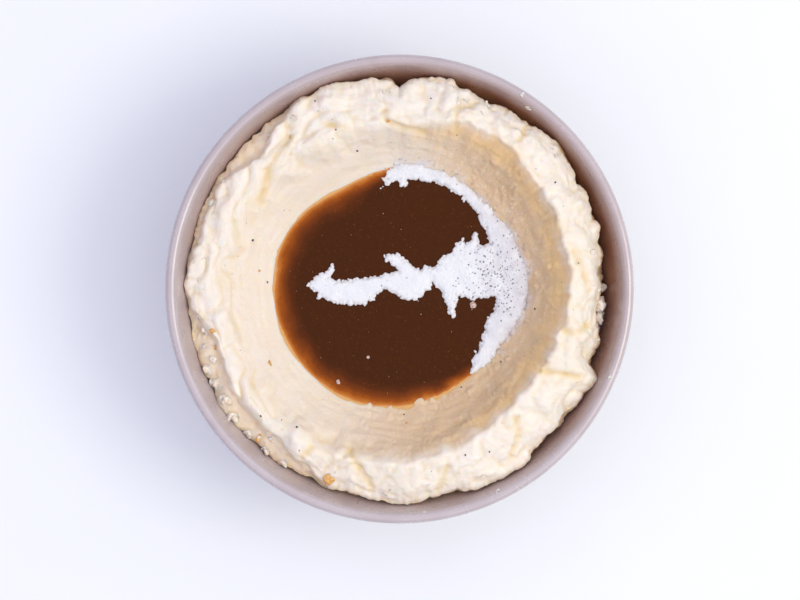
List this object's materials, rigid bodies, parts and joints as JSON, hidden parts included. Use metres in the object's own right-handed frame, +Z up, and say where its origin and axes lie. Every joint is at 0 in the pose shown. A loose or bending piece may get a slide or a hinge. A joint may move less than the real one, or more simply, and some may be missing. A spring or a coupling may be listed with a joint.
{
  "type": "mashed potato side",
  "caption": "Round side bowl of mashed potato, spooned into a ring with a hollow that holds a pool of gravy and a streak of frothed cream.",
  "frame": {"origin": "on the surface the bowl stands on, under the middle of the bowl", "axes": "+Z up out of the bowl; +X towards the side where the cream streak widens; +Y towards the top end of the streak's arc"},
  "size_m": [0.14, 0.14, 0.0566],
  "materials": {
    "glaze": "satin mauve-grey stoneware glaze, faintly mottled",
    "mash": "moist, soft, slightly grainy mashed potato",
    "gravy": "glossy brown gravy, lighter and see-through where it is shallow",
    "cream": "white froth with fine bubbles"
  },
  "bodies": {
    "root": {"bowl": "glaze", "mashed_potato": "mash", "gravy": "gravy", "cream": "cream"}
  },
  "joints": []
}
